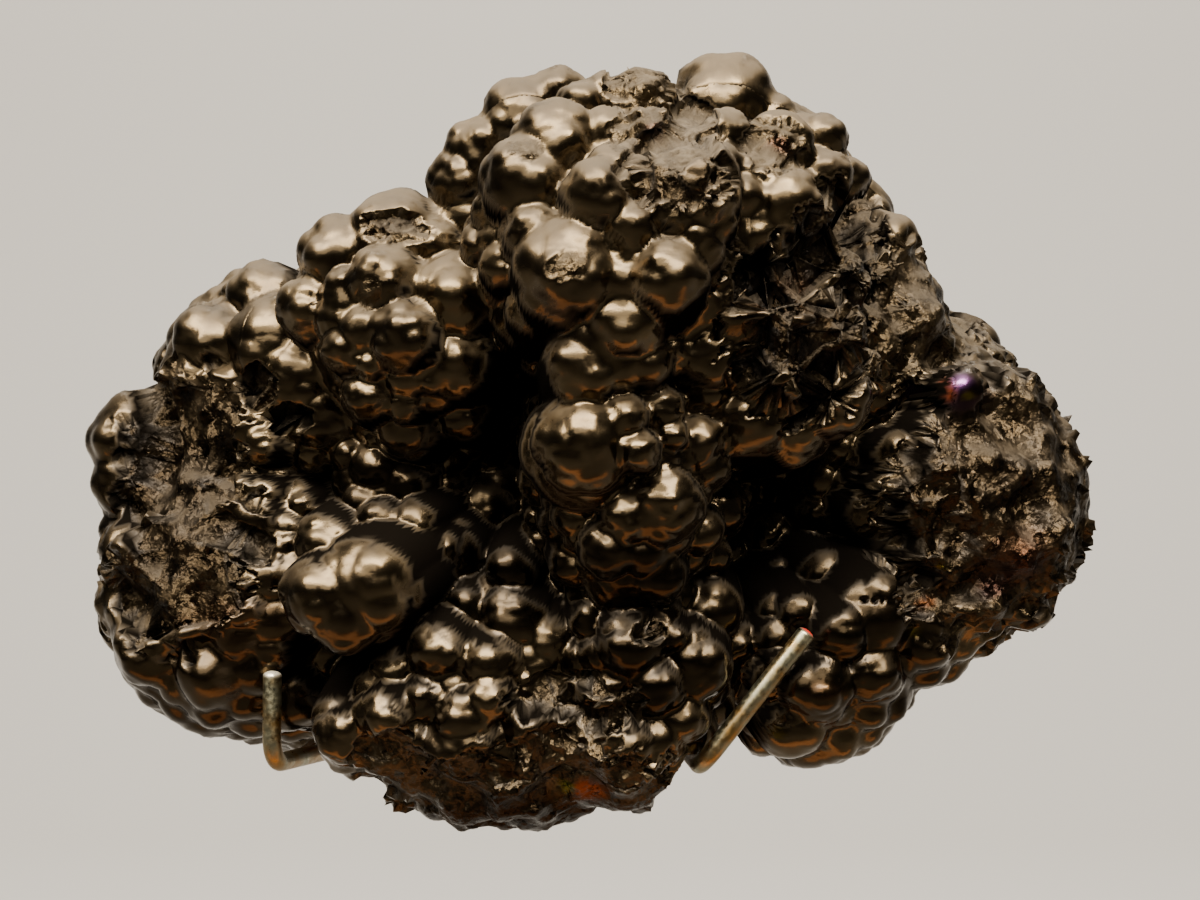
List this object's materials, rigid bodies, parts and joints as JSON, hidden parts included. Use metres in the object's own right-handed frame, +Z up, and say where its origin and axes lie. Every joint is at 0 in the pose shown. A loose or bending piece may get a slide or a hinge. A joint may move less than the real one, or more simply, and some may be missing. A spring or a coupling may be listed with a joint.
{
  "type": "heterogenite specimen",
  "caption": "Botryoidal heterogenite specimen: a dark bronze cluster of rounded lobes with broken, granular patches, resting on bent brass rod hooks that come out of the wall behind it.",
  "frame": {"origin": "a point on the wall's face behind the specimen, level with the axes of the hooks' rods and on the upright line that passes through the middle of the width", "axes": "+X to the right as seen from the front, +Y into the wall, +Z up"},
  "size_m": [0.1317, 0.0908, 0.0997],
  "materials": {
    "heterogenite": "sub-metallic dark bronze crust, shiny on the bubbles and dull and granular where it is broken",
    "brass": "bare drawn rod, dulled with age"
  },
  "bodies": {
    "root": {"stone": "heterogenite", "left_hook": "brass", "right_hook": "brass"}
  },
  "joints": []
}
